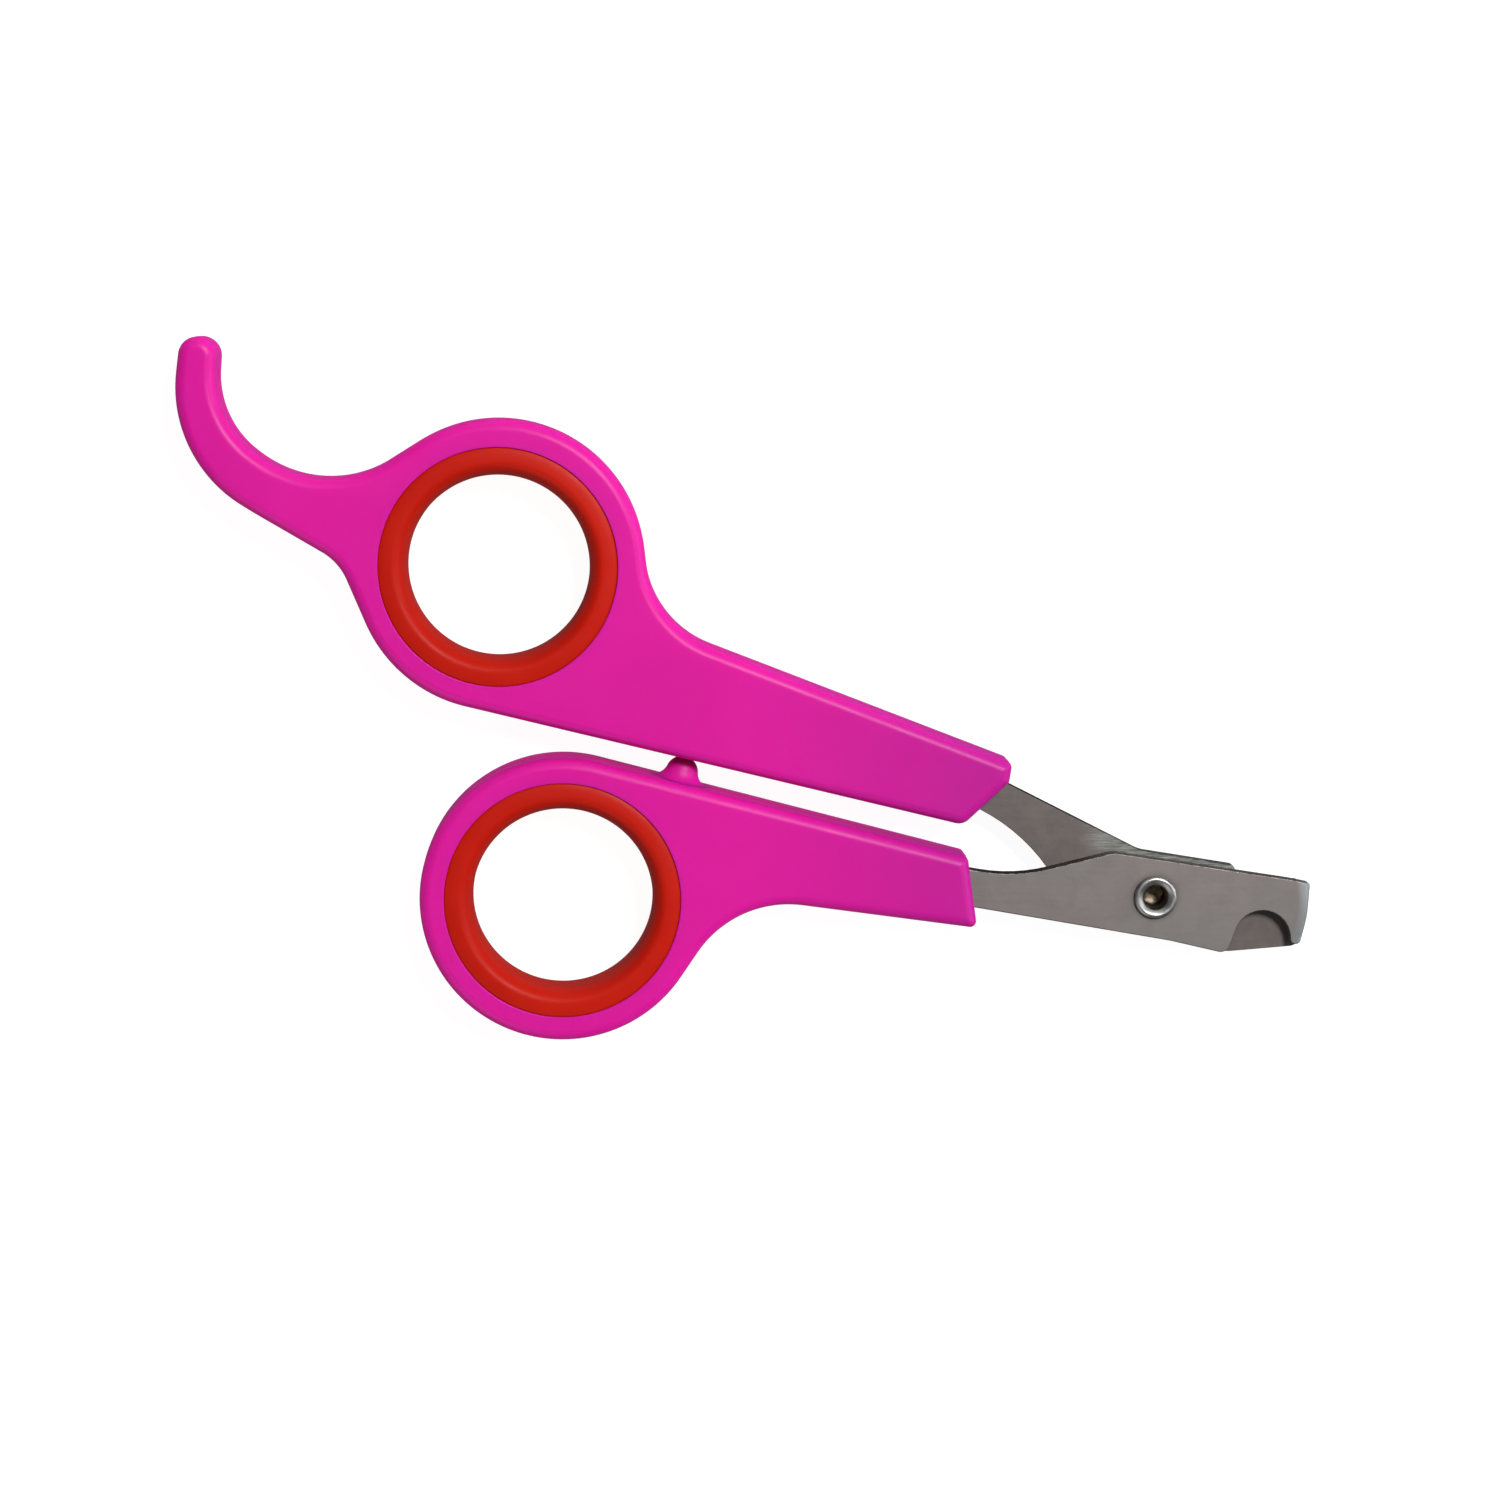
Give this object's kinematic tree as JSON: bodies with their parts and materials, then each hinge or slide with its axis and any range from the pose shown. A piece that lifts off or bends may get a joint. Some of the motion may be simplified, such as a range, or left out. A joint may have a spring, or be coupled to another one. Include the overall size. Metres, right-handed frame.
{
  "type": "pet nail trimmer",
  "caption": "Scissor-style pet nail trimmer with notched steel jaws, moulded plastic handles, soft ring grips and a finger hook.",
  "frame": {"origin": "on the rivet axis, in the plane where the two blades meet", "axes": "+X from the handles towards the jaws, +Y towards the finger handle, +Z out of the front face along the rivet"},
  "size_m": [0.1289, 0.0801, 0.008],
  "materials": {
    "handle_plastic": "gloss",
    "soft_grip": "satin",
    "blade_steel": "brushed",
    "rivet_steel": "polished"
  },
  "bodies": {
    "finger_half": {"finger_handle": "handle_plastic", "finger_ring_grip": "soft_grip", "rear_blade": "blade_steel"},
    "thumb_half": {"thumb_handle": "handle_plastic", "thumb_ring_grip": "soft_grip", "front_blade": "blade_steel", "pivot_rivet": "rivet_steel"}
  },
  "joints": [
    {"name": "blade_pivot", "type": "hinge", "parent": "finger_half", "child": "thumb_half", "pos_m": [0, 0, 0], "axis": [0, 0, 1], "range_deg": [0, 60]}
  ]
}
